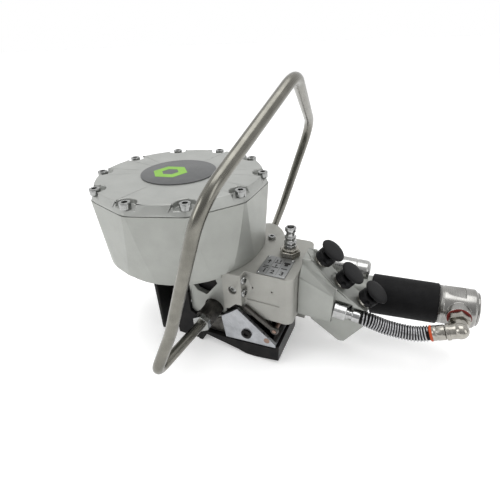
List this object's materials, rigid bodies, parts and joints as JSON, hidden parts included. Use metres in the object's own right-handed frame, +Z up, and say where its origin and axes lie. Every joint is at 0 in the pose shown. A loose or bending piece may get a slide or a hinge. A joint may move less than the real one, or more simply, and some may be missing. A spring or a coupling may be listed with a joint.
{
  "type": "pneumatic strapping tool",
  "caption": "Air tool for steel strap: round sealing cylinder with a hinged carrying bail, tension wheel over a steel foot, push-button valve block and motor grip with a short hose.",
  "frame": {"origin": "on the ground under the middle of the bounding box; the sealing cylinder's axis stands at x = -0.1103 m, y = 0", "axes": "+X towards the motor grip, +Y towards the far side, away from the push-button side's open face, +Z up along the sealing cylinder's axis"},
  "size_m": [0.389, 0.2886, 0.2749],
  "materials": {
    "casting": "bead-blasted light grey casting, satin",
    "cover_casting": "bead-blasted light grey casting, satin",
    "housing_casting": "cast, slightly warm grey, satin",
    "black_steel": "black oxide steel, oiled",
    "dark_steel": "hardened dark steel",
    "steel": "machined steel",
    "stainless": "brushed stainless rod",
    "aluminium": "turned aluminium, fine lathe lines",
    "nickel": "nickel-plated brass",
    "zinc": "zinc-plated screws",
    "rubber": "black rubber, matt",
    "plastic": "black moulded plastic",
    "badge": "dark grey printed disc with a plain green hexagon ring",
    "brass": "bronze pin"
  },
  "bodies": {
    "tool_frame": {"cylinder_body": "casting", "sealer_housing": "casting", "valve_block": "casting", "handle_web": "casting", "motor_housing": "casting", "cylinder_cover": "cover_casting", "gear_housing": "housing_casting", "side_cap": "housing_casting", "front_guard": "black_steel", "jaw_guard": "black_steel", "window_shield": "black_steel", "base_foot": "black_steel", "side_plate_screw": "black_steel", "die_block": "dark_steel", "bail_standoff_near": "dark_steel", "bail_standoff_far": "dark_steel", "cutter_block": "dark_steel", "hose": "dark_steel", "return_spring": "steel", "planet_gearbox": "steel", "side_plate": "steel", "instruction_plate": "aluminium", "end_cap": "aluminium", "end_plug": "aluminium", "exhaust_silencer": "aluminium", "inlet_adapter": "nickel", "inlet_plug": "nickel", "hose_fitting": "nickel", "hose_collar": "nickel", "elbow_fitting": "nickel", "cover_screw_01": "zinc", "cover_screw_02": "zinc", "cover_screw_03": "zinc", "cover_screw_04": "zinc", "cover_screw_05": "zinc", "cover_screw_06": "zinc", "cover_screw_07": "zinc", "cover_screw_08": "zinc", "cover_screw_09": "zinc", "cover_screw_10": "zinc", "grip_sleeve": "rubber", "tension_valve_collar": "plastic", "seal_valve_collar": "plastic", "cut_valve_collar": "plastic", "badge_disc": "badge", "lever_pin": "brass"},
    "bail": {"bail": "stainless"},
    "ram": {"piston": "aluminium", "piston_seal": "rubber", "ram_rod": "steel", "punch_block": "dark_steel"},
    "tension_wheel": {"tension_wheel": "dark_steel", "wheel_shaft": "steel", "crown_gear": "steel"},
    "drive_pinion": {"drive_pinion": "steel"},
    "motor_rotor": {"motor_rotor": "steel"},
    "gripper_lever": {"gripper_lever": "dark_steel"},
    "tension_button": {"tension_button": "plastic"},
    "seal_button": {"seal_button": "plastic"},
    "cut_button": {"cut_button": "plastic"}
  },
  "joints": [
    {"name": "bail_swing", "type": "hinge", "parent": "tool_frame", "child": "bail", "pos_m": [-0.0603, 0, 0.05], "axis": [0, 1, 0], "range_deg": [-105, 50]},
    {"name": "ram_stroke", "type": "slide", "parent": "tool_frame", "child": "ram", "axis": [0, 0, -1], "range_m": [0, 0.02], "stiffness_N_per_m": 1500, "springref_m": -0.02, "deforming": ["return_spring"]},
    {"name": "tension_spin", "type": "hinge", "parent": "tool_frame", "child": "tension_wheel", "pos_m": [-0.0183, 0, 0.045], "axis": [0, 1, 0], "continuous": true},
    {"name": "pinion_spin", "type": "hinge", "parent": "tool_frame", "child": "drive_pinion", "pos_m": [-0.0003, 0.036, 0.04968], "axis": [0.9968, 0, 0.0805], "continuous": true},
    {"name": "rotor_spin", "type": "hinge", "parent": "tool_frame", "child": "motor_rotor", "pos_m": [0.1217, 0.036, 0.05954], "axis": [0.9968, 0, 0.0805], "continuous": true},
    {"name": "gripper_swing", "type": "hinge", "parent": "tool_frame", "child": "gripper_lever", "pos_m": [0.0087, -0.04, 0.039], "axis": [0, 1, 0], "range_deg": [-6, 4], "stiffness_Nm_per_rad": 0.5},
    {"name": "tension_press", "type": "slide", "parent": "tool_frame", "child": "tension_button", "axis": [-0.5878, 0, -0.809], "range_m": [0, 0.0035], "stiffness_N_per_m": 400, "springref_m": -0.002},
    {"name": "seal_press", "type": "slide", "parent": "tool_frame", "child": "seal_button", "axis": [-0.5878, 0, -0.809], "range_m": [0, 0.0035], "stiffness_N_per_m": 400, "springref_m": -0.002},
    {"name": "cut_press", "type": "slide", "parent": "tool_frame", "child": "cut_button", "axis": [-0.5878, 0, -0.809], "range_m": [0, 0.0035], "stiffness_N_per_m": 400, "springref_m": -0.002}
  ],
  "couplings": [
    {"joint": "pinion_spin", "follows": "tension_spin", "ratio": 2.5},
    {"joint": "rotor_spin", "follows": "tension_spin", "ratio": 12.5}
  ]
}
